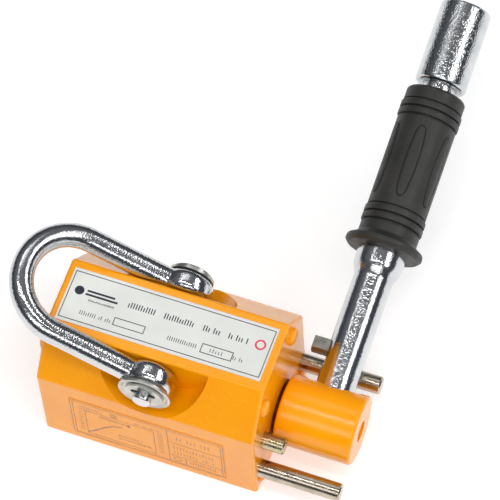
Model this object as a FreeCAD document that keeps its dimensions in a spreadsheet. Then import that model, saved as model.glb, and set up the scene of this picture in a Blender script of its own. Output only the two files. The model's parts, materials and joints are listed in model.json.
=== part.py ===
"""Hand-switched permanent lifting magnet, 100 kg class.

Frame: millimetres, origin at the bottom centre of the body on the pole faces, +Z up,
+X along the rotor towards the handle, +Y to the side on which the handle rests at OFF.
"""
import FreeCAD, Part
import Sketcher
import math
import os
import re

Vector = FreeCAD.Vector
Rotation = FreeCAD.Rotation
Placement = FreeCAD.Placement

doc = FreeCAD.newDocument("lifting_magnet")

# ---------------------------------------------------------------------------
# Driving dimensions, in millimetres and degrees
# ---------------------------------------------------------------------------
SIZES = {
    # body outline
    "body_length": 92.0,
    "body_width": 60.0,
    "body_height": 68.0,
    "top_width": 30.6,
    "shoulder_height": 47.5,
    "edge_round": 1.4,
    "cover_thickness": 8.0,
    # magnetic circuit
    "axis_height": 22.7,
    "rotor_radius": 15.0,
    "bore_radius": 15.3,
    "rotor_half_length": 33.0,
    "rotor_plate": 3.0,
    "rotor_slab": 8.0,
    "spacer_width": 10.0,
    "magnet_width": 18.0,
    "magnet_bottom": 41.0,
    "magnet_top": 53.0,
    "groove_width": 14.0,
    "groove_depth": 4.0,
    # cover screws
    "screw_radius": 2.5,
    "screw_hole_radius": 2.7,
    "screw_head_radius": 3.8,
    "screw_head_height": 1.9,
    "screw_grip": 12.0,
    "upper_screw_offset": 16.5,
    "upper_screw_height": 55.3,
    "lower_screw_offset": 23.6,
    "lower_screw_height": 7.6,
    # pins on the front cover
    "pin_radius": 3.8,
    "pin_depth": 16.0,
    "stop_pin_offset": 24.9,
    "stop_pin_height": 15.2,
    "stop_pin_reach": 34.5,
    "lock_pin_radius": 3.5,
    "lock_pin_offset": 19.8,
    "lock_pin_height": 31.8,
    "lock_pin_reach": 9.6,
    # hub and journals
    "journal_radius": 8.0,
    "bush_clearance": 0.05,
    "bush_wall": 1.95,
    "rear_journal_radius": 6.0,
    "rear_bush_depth": 6.0,
    "hub_radius": 14.5,
    "hub_start": 47.6,
    "hub_end": 80.3,
    "hub_round": 1.3,
    "spot_face_radius": 12.4,
    "spot_face_height": 13.0,
    "tongue_width": 8.0,
    "circlip_start": 36.4,
    "circlip_thickness": 1.1,
    "circlip_groove_radius": 7.2,
    "circlip_radius": 10.0,
    # handle, measured outwards from the rotor axis
    "handle_offset": 64.8,
    "tube_radius": 8.25,
    "tube_bore_radius": 5.1,
    "tube_root": 6.0,
    "collar_start": 64.5,
    "collar_radius": 10.2,
    "collar_full": 67.2,
    "grip_start": 73.4,
    "guard_radius": 16.4,
    "guard_end": 77.4,
    "grip_radius": 12.4,
    "grip_belly_radius": 12.9,
    "grip_end": 143.9,
    "grip_recess": 4.2,
    "grip_recess_radius": 7.4,
    "rib_pitch": 3.45,
    "rib_groove": 0.8,
    "lower_ribs_start": 83.5,
    "upper_ribs_start": 130.4,
    "knob_start": 147.7,
    "knob_end": 183.6,
    "knob_radius": 11.0,
    "knob_round": 1.6,
    "knob_neck_radius": 7.0,
    "knob_travel": 3.6,
    "rod_radius": 4.0,
    "rod_start": 20.0,
    "rod_end": 158.0,
    "o_ring_height": 60.0,
    "o_ring_section": 0.95,
    "key_start": 25.55,
    "key_length": 6.2,
    "key_thickness": 5.0,
    "key_offset": 1.2,
    "key_reach": 14.3,
    "key_bevel": 1.3,
    "lock_screw_radius": 4.0,
    # shackle
    "shackle_pin_height": 59.0,
    "shackle_pin_radius": 4.0,
    "shackle_pin_half": 31.7,
    "pin_head_radius": 8.5,
    "pin_head_thickness": 2.6,
    "pin_head_bevel": 0.8,
    "pocket_radius": 23.2,
    "pocket_height": 68.6,
    "pocket_floor": 15.9,
    "eye_radius": 9.8,
    "eye_inner": 16.4,
    "eye_width": 9.4,
    "eye_round": 3.2,
    "eye_bore_radius": 4.06,
    "bar_radius": 5.0,
    "neck_radius": 4.5,
    "neck_end": 13.0,
    "taper_end": 24.0,
    "leg_length": 43.0,
    "shackle_rest_angle": 24.0,
    "washer_radius": 11.1,
    "washer_bore_radius": 4.15,
    "washer_thickness": 1.2,
    "washer_start": 26.0,
    "far_washer_radius": 9.5,
    "clip_radius": 8.0,
    "clip_groove_radius": 3.2,
    "clip_thickness": 1.2,
    "clip_start": 27.3,
    # plates on the outside
    "plate_length": 86.2,
    "plate_width": 23.8,
    "plate_thickness": 0.6,
    "label_length": 66.2,
    "label_height": 32.4,
    "label_bottom": 5.6,
    "label_thickness": 0.2,
}

sheet = doc.addObject("Spreadsheet::Sheet", "Sizes")
for row, (alias, value) in enumerate(SIZES.items(), start=1):
    sheet.set(f"A{row}", str(value))
    sheet.setAlias(f"A{row}", alias)
doc.recompute()


def size(alias):
    """The value that the sheet holds for an alias."""
    return float(sheet.get(alias))


WORD = re.compile(r"[a-z_]+")


def from_sheet(text):
    """An expression in which each alias is read from the sheet."""
    return WORD.sub(lambda word: "Sizes." + word.group() if word.group() in SIZES else word.group(), text)


# ---------------------------------------------------------------------------
# Directions and places
# ---------------------------------------------------------------------------
ALONG_X = Rotation(Vector(0, 1, 0), 90)
ALONG_Y = Rotation(Vector(1, 0, 0), -90)
ALONG_Z = Rotation()

# The tube rests on the far stop pin with a tenth of a millimetre to spare.
REST_GAP = 0.1
pin_drop = size("axis_height") - size("stop_pin_height")
pin_distance = math.hypot(size("stop_pin_offset"), pin_drop)
tube_to_pin = size("tube_radius") + size("pin_radius") + REST_GAP
handle_rest = math.degrees(
    math.asin(tube_to_pin / pin_distance) - math.atan2(pin_drop, size("stop_pin_offset")))
handle_turn = Rotation(Vector(1, 0, 0), handle_rest - 90)
shackle_turn = Rotation(Vector(0, 1, 0), size("shackle_rest_angle"))

# In the handle's own frame +Z runs outwards along the tube and +X stays the rotor axis.
ON_ROTOR = Placement(Vector(0, 0, size("axis_height")), handle_turn)
ON_HANDLE = Placement(Vector(size("handle_offset"), 0, size("axis_height")), handle_turn)
# In the shackle's own frame +Y is the cross pin and the bow points along -X.
ON_SHACKLE = Placement(Vector(0, 0, size("shackle_pin_height")), shackle_turn)

nodes = {}
count_names = {}


def fresh(stem):
    """A new object name made from a stem."""
    count_names[stem] = count_names.get(stem, 0) + 1
    return f"{stem}_{count_names[stem]}"


def keep(name, obj, placement=None):
    """Record the finished sub-part of a node, moved from its own frame where one is given."""
    if placement is not None:
        obj.Placement = placement
    obj.Label = name
    nodes[name] = obj
    return obj


def bind(obj, **texts):
    """Bind each property to an expression over the sheet."""
    for prop, text in texts.items():
        obj.setExpression(prop, from_sheet(text))


def locate(obj, base, rotation=ALONG_Z):
    """Place an object, with its base bound to the sheet."""
    obj.Placement = Placement(Vector(0, 0, 0), rotation)
    for axis, text in zip("xyz", base):
        if text != "0":
            obj.setExpression(f"Placement.Base.{axis}", from_sheet(text))


# ---------------------------------------------------------------------------
# Primitives and booleans
# ---------------------------------------------------------------------------
def box(corner, lengths):
    block = doc.addObject("Part::Box", fresh("block"))
    bind(block, Length=lengths[0], Width=lengths[1], Height=lengths[2])
    locate(block, corner)
    return block


def rod(base, rotation, radius, height):
    cylinder = doc.addObject("Part::Cylinder", fresh("cylinder"))
    bind(cylinder, Radius=radius, Height=height)
    locate(cylinder, base, rotation)
    return cylinder


def taper(base, rotation, first_radius, last_radius, height):
    cone = doc.addObject("Part::Cone", fresh("cone"))
    bind(cone, Radius1=first_radius, Radius2=last_radius, Height=height)
    locate(cone, base, rotation)
    return cone


def fuse(*pieces):
    union = doc.addObject("Part::MultiFuse", fresh("union"))
    union.Shapes = list(pieces)
    return union


def overlap(*pieces):
    common = doc.addObject("Part::MultiCommon", fresh("common"))
    common.Shapes = list(pieces)
    return common


def cut(base, *tools):
    """Base less the tools. The check that each cut removes something is made before export."""
    difference = doc.addObject("Part::Cut", fresh("difference"))
    difference.Base = base
    difference.Tool = tools[0] if len(tools) == 1 else fuse(*tools)
    return difference


def rounded(base, radius, chosen):
    """Part::Fillet on the edges that a test chooses."""
    doc.recompute()
    fillet = doc.addObject("Part::Fillet", fresh("fillet"))
    fillet.Base = base
    fillet.Edges = [(number, radius, radius)
                    for number, edge in enumerate(base.Shape.Edges, start=1) if chosen(edge)]
    return fillet


# ---------------------------------------------------------------------------
# PartDesign bodies from outlines
# ---------------------------------------------------------------------------
def outline(body, plane, points):
    """A closed polygon sketch whose corners are bound to the sheet."""
    sketch = body.newObject("Sketcher::SketchObject", fresh("sketch"))
    support = next(item for item in body.Origin.OriginFeatures if item.Role == plane)
    sketch.AttachmentSupport = (support, [""])
    sketch.MapMode = "FlatFace"
    total = len(points)
    turn = 2 * math.pi / total
    corners = [Vector(20 * math.cos(i * turn), 20 * math.sin(i * turn), 0) for i in range(total)]
    for i in range(total):
        sketch.addGeometry(Part.LineSegment(corners[i], corners[(i + 1) % total]), False)
    for i in range(total):
        sketch.addConstraint(Sketcher.Constraint("Coincident", i, 2, (i + 1) % total, 1))
    for i, point in enumerate(points):
        for kind, axis, text, start in (("DistanceX", -2, point[0], corners[i].x),
                                        ("DistanceY", -1, point[1], corners[i].y)):
            if text == "0":
                sketch.addConstraint(Sketcher.Constraint("PointOnObject", i, 1, axis))
            else:
                index = sketch.addConstraint(Sketcher.Constraint(kind, -1, 1, i, 1, start))
                sketch.setExpression(f"Constraints[{index}]", from_sheet(text))
    return sketch


def turned(profile):
    """A body of revolution about its own Z, from (radius, height) corners."""
    body = doc.addObject("PartDesign::Body", fresh("turned"))
    sketch = outline(body, "XZ_Plane", profile)
    revolution = body.newObject("PartDesign::Revolution", fresh("revolution"))
    revolution.Profile = sketch
    revolution.ReferenceAxis = (sketch, ["V_Axis"])
    revolution.Angle = 360
    return body


def round_rims(body, radius, rims):
    """A PartDesign fillet on the circular edges at the given (radius, height) pairs."""
    doc.recompute()
    base = body.Tip
    names = []
    for number, edge in enumerate(base.Shape.Edges, start=1):
        if edge.Curve.TypeId != "Part::GeomCircle":
            continue
        for rim_radius, rim_height in rims:
            if abs(edge.Curve.Radius - rim_radius) < 1e-4 and abs(edge.Curve.Center.z - rim_height) < 1e-4:
                names.append(f"Edge{number}")
    fillet = body.newObject("PartDesign::Fillet", fresh("rim"))
    fillet.Base = (base, names)
    fillet.setExpression("Radius", from_sheet(radius))
    return body


def extruded(points, start, length):
    """A body padded along +X from a (y, z) outline."""
    body = doc.addObject("PartDesign::Body", fresh("extruded"))
    sketch = outline(body, "YZ_Plane", points)
    sketch.setExpression("AttachmentOffset.Base.z", from_sheet(start))
    pad = body.newObject("PartDesign::Pad", fresh("pad"))
    pad.Profile = sketch
    pad.setExpression("Length", from_sheet(length))
    return body


# ---------------------------------------------------------------------------
# Body: pole blocks, spacers, fixed magnets
# ---------------------------------------------------------------------------
CORE_START = "-body_length / 2 + cover_thickness"
CORE_LENGTH = "body_length - 2 * cover_thickness"
COVER_INNER = "body_length / 2 - cover_thickness"
SCREWS = [("upper_screw_offset", "upper_screw_height"), ("lower_screw_offset", "lower_screw_height")]


def near(value, target):
    return abs(value - target) < 1e-3


def is_long_edge(edge):
    """One of the body's outer corners that run along X."""
    box_of_edge = edge.BoundBox
    if box_of_edge.YLength > 1e-3 or box_of_edge.ZLength > 1e-3:
        return False
    side = abs(box_of_edge.YMin)
    height = box_of_edge.ZMin
    return ((near(side, size("body_width") / 2) and (near(height, 0) or near(height, size("shoulder_height"))))
            or (near(side, size("top_width") / 2) and near(height, size("body_height"))))


def shackle_pocket(side):
    """The round spot face beside the shackle eye, cut in from outside."""
    if side < 0:
        return rod(("0", "-body_width", "pocket_height"), ALONG_Y, "pocket_radius", "body_width - pocket_floor")
    return rod(("0", "pocket_floor", "pocket_height"), ALONG_Y, "pocket_radius", "body_width - pocket_floor")


def v_groove(start, length):
    """The shallow V along the underside that seats round stock."""
    return extruded([("-groove_width / 2", "0"), ("groove_width / 2", "0"), ("0", "groove_depth")], start, length)


def pole_block(side):
    """One steel half of the body, on the side given by its sign."""
    sign = "-" if side < 0 else ""
    corners = [
        (f"{sign}spacer_width / 2", "0"),
        (f"{sign}body_width / 2", "0"),
        (f"{sign}body_width / 2", "shoulder_height"),
        (f"{sign}top_width / 2", "body_height"),
        (f"{sign}magnet_width / 2", "body_height"),
        (f"{sign}magnet_width / 2", "magnet_bottom"),
        (f"{sign}spacer_width / 2", "magnet_bottom"),
    ]
    block = rounded(extruded(corners, CORE_START, CORE_LENGTH), size("edge_round"), is_long_edge)
    tools = [
        rod((CORE_START, "0", "axis_height"), ALONG_X, "bore_radius", CORE_LENGTH),
        shackle_pocket(side),
        v_groove(CORE_START, CORE_LENGTH),
        rod(("0", "-body_width / 2", "shackle_pin_height"), ALONG_Y, "shackle_pin_radius", "body_width"),
        rod((f"{COVER_INNER} - pin_depth + cover_thickness", f"{sign}stop_pin_offset", "stop_pin_height"),
            ALONG_X, "pin_radius", "pin_depth"),
    ]
    for offset, height in SCREWS:
        for start in (CORE_START, f"{COVER_INNER} - screw_grip"):
            tools.append(rod((start, sign + offset, height), ALONG_X, "screw_radius", "screw_grip"))
    if side < 0:
        tools.append(rod((f"{COVER_INNER} - pin_depth + cover_thickness", "-lock_pin_offset", "lock_pin_height"),
                         ALONG_X, "lock_pin_radius", "pin_depth"))
    return cut(block, *tools)


keep("near_pole_block", pole_block(-1))
keep("far_pole_block", pole_block(1))

keep("top_spacer", cut(
    box((CORE_START, "-magnet_width / 2", "magnet_top"),
        (CORE_LENGTH, "magnet_width", "body_height - magnet_top")),
    rod(("0", "-body_width / 2", "shackle_pin_height"), ALONG_Y, "shackle_pin_radius", "body_width")))

keep("middle_spacer", cut(
    box((CORE_START, "-spacer_width / 2", "axis_height + bore_radius * 0.9"),
        (CORE_LENGTH, "spacer_width", "magnet_bottom - axis_height - bore_radius * 0.9")),
    rod((CORE_START, "0", "axis_height"), ALONG_X, "bore_radius", CORE_LENGTH)))

keep("bottom_spacer", cut(
    box((CORE_START, "-spacer_width / 2", "0"), (CORE_LENGTH, "spacer_width", "axis_height / 2")),
    rod((CORE_START, "0", "axis_height"), ALONG_X, "bore_radius", CORE_LENGTH),
    v_groove(CORE_START, CORE_LENGTH)))

FIXED_MAGNETS = 3
for index in range(FIXED_MAGNETS):
    keep(f"fixed_magnet_{index + 1}", box(
        (f"{CORE_START} + ({CORE_LENGTH}) * {index} / {FIXED_MAGNETS}", "-magnet_width / 2", "magnet_bottom"),
        (f"({CORE_LENGTH}) / {FIXED_MAGNETS}", "magnet_width", "magnet_top - magnet_bottom")))


# ---------------------------------------------------------------------------
# Body: end covers, their screws, bearings and washers
# ---------------------------------------------------------------------------
def end_cover(start, outer_face):
    """A plate of the body's outline, rounded along its long and its outer edges."""
    corners = [
        ("-body_width / 2", "0"),
        ("body_width / 2", "0"),
        ("body_width / 2", "shoulder_height"),
        ("top_width / 2", "body_height"),
        ("-top_width / 2", "body_height"),
        ("-body_width / 2", "shoulder_height"),
    ]

    def is_outer(edge):
        return near(edge.BoundBox.XMin, outer_face) and near(edge.BoundBox.XMax, outer_face)

    return rounded(extruded(corners, start, "cover_thickness"), size("edge_round"),
                   lambda edge: is_long_edge(edge) or is_outer(edge))


def screw_holes(start):
    return [rod((start, sign + offset, height), ALONG_X, "screw_hole_radius", "cover_thickness")
            for offset, height in SCREWS for sign in ("-", "")]


def pin_hole(side, offset, height, radius="pin_radius"):
    return rod((COVER_INNER, side + offset, height), ALONG_X, radius, "cover_thickness")


keep("front_cover", cut(
    end_cover(COVER_INNER, size("body_length") / 2),
    rod((COVER_INNER, "0", "axis_height"), ALONG_X, "journal_radius + bush_clearance + bush_wall", "cover_thickness"),
    pin_hole("-", "stop_pin_offset", "stop_pin_height"),
    pin_hole("", "stop_pin_offset", "stop_pin_height"),
    pin_hole("-", "lock_pin_offset", "lock_pin_height", "lock_pin_radius"),
    v_groove(COVER_INNER, "cover_thickness"),
    *screw_holes(COVER_INNER)))

keep("rear_cover", cut(
    end_cover("-body_length / 2", -size("body_length") / 2),
    rod((f"{CORE_START} - rear_bush_depth", "0", "axis_height"), ALONG_X,
        "rear_journal_radius + bush_clearance + bush_wall", "rear_bush_depth"),
    v_groove("-body_length / 2", "cover_thickness"),
    *screw_holes("-body_length / 2")))


def cover_screws(front):
    """Four button-head screws as one group of separate solids."""
    pieces = []
    for offset, height in SCREWS:
        for sign in ("-", ""):
            spot = (sign + offset, height)
            if front:
                shank = rod((f"{COVER_INNER} - screw_grip", *spot), ALONG_X, "screw_radius",
                            "screw_grip + cover_thickness")
                rim = rod(("body_length / 2", *spot), ALONG_X, "screw_head_radius", "screw_head_height / 2")
                dome = taper(("body_length / 2 + screw_head_height / 2", *spot), ALONG_X,
                             "screw_head_radius", "screw_head_radius * 0.6", "screw_head_height / 2")
            else:
                shank = rod(("-body_length / 2", *spot), ALONG_X, "screw_radius", "screw_grip + cover_thickness")
                rim = rod(("-body_length / 2 - screw_head_height / 2", *spot), ALONG_X,
                          "screw_head_radius", "screw_head_height / 2")
                dome = taper(("-body_length / 2 - screw_head_height", *spot), ALONG_X,
                             "screw_head_radius * 0.6", "screw_head_radius", "screw_head_height / 2")
            pieces += [shank, rim, dome]
    return fuse(*pieces)


keep("front_cover_screws", cover_screws(True))
keep("rear_cover_screws", cover_screws(False))


def ring(start, inner, outer, length):
    """A plain ring on the rotor axis."""
    return cut(rod((start, "0", "axis_height"), ALONG_X, outer, length),
               rod((start, "0", "axis_height"), ALONG_X, inner, length))


keep("front_bush", ring(COVER_INNER, "journal_radius + bush_clearance",
                        "journal_radius + bush_clearance + bush_wall", "cover_thickness"))
keep("rear_bush", ring(f"{CORE_START} - rear_bush_depth", "rear_journal_radius + bush_clearance",
                       "rear_journal_radius + bush_clearance + bush_wall", "rear_bush_depth"))
keep("front_thrust_washer", ring("body_length / 2", "journal_radius + 2 * bush_clearance", "hub_radius - 3",
                                 "hub_start - body_length / 2 - 0.2"))
keep("rear_thrust_washer", ring(CORE_START, "rear_journal_radius + 2 * bush_clearance", "rotor_radius - 4",
                                f"-rotor_half_length - rotor_plate - ({CORE_START}) - 0.2"))


# ---------------------------------------------------------------------------
# Body: stop pins, lock pin, plates
# ---------------------------------------------------------------------------
def cover_pin(side, offset, height, reach, radius="pin_radius"):
    """A straight pin with a small chamfer, pressed through the front cover into the block."""
    pin = turned([("0", "0"), (radius, "0"), (radius, f"pin_depth + {reach} - 0.6"),
                  (f"{radius} - 0.6", f"pin_depth + {reach}"), ("0", f"pin_depth + {reach}")])
    locate(pin, (f"{COVER_INNER} + cover_thickness - pin_depth", side + offset, height), ALONG_X)
    return pin


keep("near_stop_pin", cover_pin("-", "stop_pin_offset", "stop_pin_height", "stop_pin_reach"))
keep("far_stop_pin", cover_pin("", "stop_pin_offset", "stop_pin_height", "stop_pin_reach"))
keep("lock_pin", cover_pin("-", "lock_pin_offset", "lock_pin_height", "lock_pin_reach", "lock_pin_radius"))

keep("nameplate", box(("-plate_length / 2", "-plate_width / 2", "body_height"),
                      ("plate_length", "plate_width", "plate_thickness")))
keep("load_chart_label", box(("-label_length / 2", "-body_width / 2 - label_thickness", "label_bottom"),
                             ("label_length", "label_thickness", "label_height")))


# ---------------------------------------------------------------------------
# Rotor, in its own frame
# ---------------------------------------------------------------------------
ROTOR_SCREW_RADIUS = "1.5"
ROTOR_SCREW_HEAD = "2.8"
ROTOR_SCREW_SINK = "1.6"
ROTOR_SCREW_DEPTH = "9"
ROTOR_SCREW_SPOT = "rotor_radius / 2"
QUARTERS = [(a, b) for a in ("-", "") for b in ("-", "")]


def rotor_bar():
    return rod(("-rotor_half_length", "0", "0"), ALONG_X, "rotor_radius", "2 * rotor_half_length")


def rotor_block(bottom, height):
    return box(("-rotor_half_length", "-rotor_radius", bottom), ("2 * rotor_half_length", "2 * rotor_radius", height))


def rotor_screw_shanks(front):
    start = "rotor_half_length - 9 + rotor_plate" if front else "-rotor_half_length - rotor_plate"
    return [rod((start, a + ROTOR_SCREW_SPOT, b + ROTOR_SCREW_SPOT), ALONG_X, ROTOR_SCREW_RADIUS, ROTOR_SCREW_DEPTH)
            for a, b in QUARTERS]


def rotor_screw_heads(front):
    if front:
        start, first, last = "rotor_half_length + rotor_plate - 1.6", ROTOR_SCREW_RADIUS, ROTOR_SCREW_HEAD
    else:
        start, first, last = "-rotor_half_length - rotor_plate", ROTOR_SCREW_HEAD, ROTOR_SCREW_RADIUS
    return [taper((start, a + ROTOR_SCREW_SPOT, b + ROTOR_SCREW_SPOT), ALONG_X, first, last, ROTOR_SCREW_SINK)
            for a, b in QUARTERS]


def rotor_pole(bottom):
    segment = overlap(rotor_bar(), rotor_block(bottom, "rotor_radius - rotor_slab / 2"))
    return cut(segment, *rotor_screw_shanks(True), *rotor_screw_shanks(False))


keep("rotor_pole_a", rotor_pole("rotor_slab / 2"), ON_ROTOR)
keep("rotor_pole_b", rotor_pole("-rotor_radius"), ON_ROTOR)
keep("rotor_magnet", overlap(rotor_bar(), rotor_block("-rotor_slab / 2", "rotor_slab")), ON_ROTOR)

keep("rotor_front_plate", cut(
    rod(("rotor_half_length", "0", "0"), ALONG_X, "rotor_radius", "rotor_plate"),
    box(("rotor_half_length", "-tongue_width / 2", "-journal_radius - 0.1"),
        ("rotor_plate", "tongue_width", "2 * journal_radius + 0.2")),
    *rotor_screw_shanks(True), *rotor_screw_heads(True)), ON_ROTOR)

keep("rotor_rear_plate", cut(
    fuse(rod(("-rotor_half_length - rotor_plate", "0", "0"), ALONG_X, "rotor_radius", "rotor_plate"),
         rod((f"{CORE_START} - rear_bush_depth + 0.5", "0", "0"), ALONG_X, "rear_journal_radius",
             f"-rotor_half_length - rotor_plate - ({CORE_START}) + rear_bush_depth - 0.5")),
    *rotor_screw_shanks(False), *rotor_screw_heads(False)), ON_ROTOR)

keep("rotor_front_screws", fuse(*rotor_screw_shanks(True), *rotor_screw_heads(True)), ON_ROTOR)
keep("rotor_rear_screws", fuse(*rotor_screw_shanks(False), *rotor_screw_heads(False)), ON_ROTOR)

circlip = cut(
    rod(("circlip_start", "0", "0"), ALONG_X, "circlip_radius", "circlip_thickness"),
    rod(("circlip_start", "0", "0"), ALONG_X, "circlip_groove_radius", "circlip_thickness"),
    box(("circlip_start", "-2", "0"), ("circlip_thickness", "4", "circlip_radius + 1")))
keep("hub_circlip", circlip, ON_ROTOR)


# ---------------------------------------------------------------------------
# Hub and handle
# ---------------------------------------------------------------------------
CIRCLIP_END = "circlip_start + circlip_thickness"
TONGUE_START = "rotor_half_length + 0.2"
PLATE_FACE = "rotor_half_length + rotor_plate"


def hub_turning():
    """The hub with its journal and circlip groove, turned about X."""
    profile = [
        ("0", TONGUE_START), ("journal_radius", TONGUE_START),
        ("journal_radius", "circlip_start"), ("circlip_groove_radius", "circlip_start"),
        ("circlip_groove_radius", CIRCLIP_END), ("journal_radius", CIRCLIP_END),
        ("journal_radius", "hub_start"), ("hub_radius", "hub_start"),
        ("hub_radius", "hub_end"), ("0", "hub_end"),
    ]
    body = round_rims(turned(profile), "hub_round",
                      [(size("hub_radius"), size("hub_start")), (size("hub_radius"), size("hub_end"))])
    body.Placement = Placement(Vector(0, 0, 0), ALONG_X)
    return body


tongue_sides = [
    box((TONGUE_START, side, "-journal_radius"),
        (f"{PLATE_FACE} - ({TONGUE_START}) + 0.1", "journal_radius", "2 * journal_radius"))
    for side in ("tongue_width / 2", "-tongue_width / 2 - journal_radius")]
tube_socket = rod(("handle_offset", "0", "-tube_root"), ALONG_Z, "tube_radius", "tube_root + hub_radius + 1")
spot_face = rod(("handle_offset", "0", "spot_face_height"), ALONG_Z, "spot_face_radius", "hub_radius")
screw_way = rod(("handle_offset + tube_radius - 1", "0", "0"), ALONG_X, "lock_screw_radius",
                "hub_end - handle_offset - tube_radius + 1")
screw_mouth = rod(("hub_end - 1.2", "0", "0"), ALONG_X, "lock_screw_radius + 0.5", "1.3")
keep("handle_hub", cut(
    hub_turning(), *tongue_sides, tube_socket, spot_face, screw_way, screw_mouth), ON_ROTOR)

hexagon = doc.addObject("Part::Prism", "hexagon_socket")
hexagon.Polygon = 6
bind(hexagon, Circumradius="lock_screw_radius * 0.58", Height="3")
locate(hexagon, ("hub_end - 4.4", "0", "0"), ALONG_X)
keep("handle_lock_screw", cut(
    rod(("handle_offset + tube_radius + 0.02", "0", "0"), ALONG_X, "lock_screw_radius",
        "hub_end - 1.5 - handle_offset - tube_radius - 0.02"),
    hexagon), ON_ROTOR)

TUBE_TOP = "grip_end - grip_recess"
SLOT_MARGIN = "0.25"
tube_profile = [
    ("tube_bore_radius", "-tube_root"), ("tube_radius", "-tube_root"), ("tube_radius", "collar_start"),
    ("collar_radius", "collar_full"), ("collar_radius", "grip_start"), ("tube_radius", "grip_start"),
    ("tube_radius", TUBE_TOP), ("tube_bore_radius", TUBE_TOP),
]
key_slot = box(
    ("-tube_radius - 1", "-key_offset - key_thickness / 2 - 0.25", "key_start - knob_travel - 0.4"),
    ("tube_radius + 1 - rod_radius / 2", "key_thickness + 0.5", "key_length + knob_travel + 0.8"))
keep("handle_tube", cut(turned(tube_profile), key_slot), ON_HANDLE)

RIB_DEPTH = "rib_groove"


def rib_grooves(start):
    """Three grooves that leave two ribs, as (radius, height) corners going up."""
    corners = []
    for number in range(3):
        low = f"{start} + {number} * rib_pitch"
        high = f"{low} + rib_groove"
        corners += [("grip_radius", low), ("grip_radius - rib_groove", low),
                    ("grip_radius - rib_groove", high), ("grip_radius", high)]
    return corners


grip_profile = [
    ("tube_radius", "grip_start"), ("guard_radius - 1", "grip_start"), ("guard_radius", "grip_start + 1.2"),
    ("guard_radius - 0.6", "guard_end - 1"), ("grip_radius + 0.8", "guard_end"), ("grip_radius", "guard_end + 1.5"),
    *rib_grooves("lower_ribs_start"),
    ("grip_belly_radius", "lower_ribs_start + 2 * rib_pitch + rib_groove + 2"),
    ("grip_belly_radius", "upper_ribs_start - 2"),
    *rib_grooves("upper_ribs_start"),
    ("grip_radius", "grip_end - 1"), ("grip_radius - 1", "grip_end"), ("grip_recess_radius", "grip_end"),
    ("grip_recess_radius", TUBE_TOP), ("tube_radius", TUBE_TOP),
]
keep("handle_grip", turned(grip_profile), ON_HANDLE)

keep("rod_bush", cut(
    rod(("0", "0", f"{TUBE_TOP} - 10"), ALONG_Z, "tube_bore_radius", "10"),
    rod(("0", "0", f"{TUBE_TOP} - 10"), ALONG_Z, "rod_radius + bush_clearance", "10")), ON_HANDLE)


# ---------------------------------------------------------------------------
# Sliding lock inside the handle
# ---------------------------------------------------------------------------
knob_profile = [
    ("rod_radius", f"{TUBE_TOP} + knob_travel + 0.1"), ("knob_neck_radius", f"{TUBE_TOP} + knob_travel + 0.1"),
    ("knob_neck_radius", "knob_start"), ("knob_radius", "knob_start"), ("knob_radius", "knob_end"),
    ("0", "knob_end"), ("0", "rod_end"), ("rod_radius", "rod_end"),
]
keep("release_knob", round_rims(
    turned(knob_profile), "knob_round",
    [(size("knob_radius"), size("knob_start")), (size("knob_radius"), size("knob_end"))]), ON_HANDLE)

GROOVE_FLOOR = "tube_bore_radius - 2 * o_ring_section - bush_clearance"
rod_profile = [
    ("0", "rod_start"), ("rod_radius", "rod_start"),
    ("rod_radius", "o_ring_height - o_ring_section"), (GROOVE_FLOOR, "o_ring_height - o_ring_section"),
    (GROOVE_FLOOR, "o_ring_height + o_ring_section"), ("rod_radius", "o_ring_height + o_ring_section"),
    ("rod_radius", "rod_end"), ("0", "rod_end"),
]


def key_block(reach):
    return box((f"-{reach}", "-key_offset - key_thickness / 2", "key_start"), (reach, "key_thickness", "key_length"))


keep("release_rod", cut(turned(rod_profile), key_block("tube_radius")), ON_HANDLE)

# The bevel at the key's inner, leading edge rides over the lock pin.
bevel = doc.addObject("Part::Wedge", "key_bevel_wedge")
bind(bevel, Xmin="0", Ymin="0", Zmin="0", X2min="0", Z2min="0",
     Xmax="key_reach + 1", Ymax="key_bevel", Zmax="key_bevel", X2max="key_reach + 1", Z2max="0")
locate(bevel, ("-key_reach - 0.5", "-key_offset - key_thickness / 2", "key_start"))
keep("lock_key", cut(key_block("key_reach"), bevel), ON_HANDLE)

o_ring = doc.addObject("Part::Torus", "o_ring_torus")
bind(o_ring, Radius1=f"{GROOVE_FLOOR} + o_ring_section", Radius2="o_ring_section")
keep("rod_o_ring", o_ring, Placement(ON_HANDLE.multVec(Vector(0, 0, size("o_ring_height"))), handle_turn))


# ---------------------------------------------------------------------------
# Shackle, its headed pin, washers and clip
# ---------------------------------------------------------------------------
LEG_SIDE = "eye_inner + eye_width / 2"
ALONG_BACK = Rotation(Vector(0, 1, 0), -90)


def shackle_leg(sign):
    """Neck, taper and straight bar of one leg, along -X from the eye."""
    side = sign + "(" + LEG_SIDE + ")"
    return [
        rod(("0", side, "0"), ALONG_BACK, "neck_radius", "neck_end"),
        taper(("-neck_end", side, "0"), ALONG_BACK, "neck_radius", "bar_radius", "taper_end - neck_end"),
        rod(("-taper_end", side, "0"), ALONG_BACK, "bar_radius", "leg_length - taper_end"),
    ]


def shackle_eye(sign):
    """A forged eye: a short barrel with well rounded rims."""
    start = "eye_inner" if sign == "" else "-eye_inner - eye_width"
    barrel = rod(("0", start, "0"), ALONG_Y, "eye_radius", "eye_width")
    return rounded(barrel, size("eye_round"), lambda edge: edge.Curve.TypeId == "Part::GeomCircle")


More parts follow.
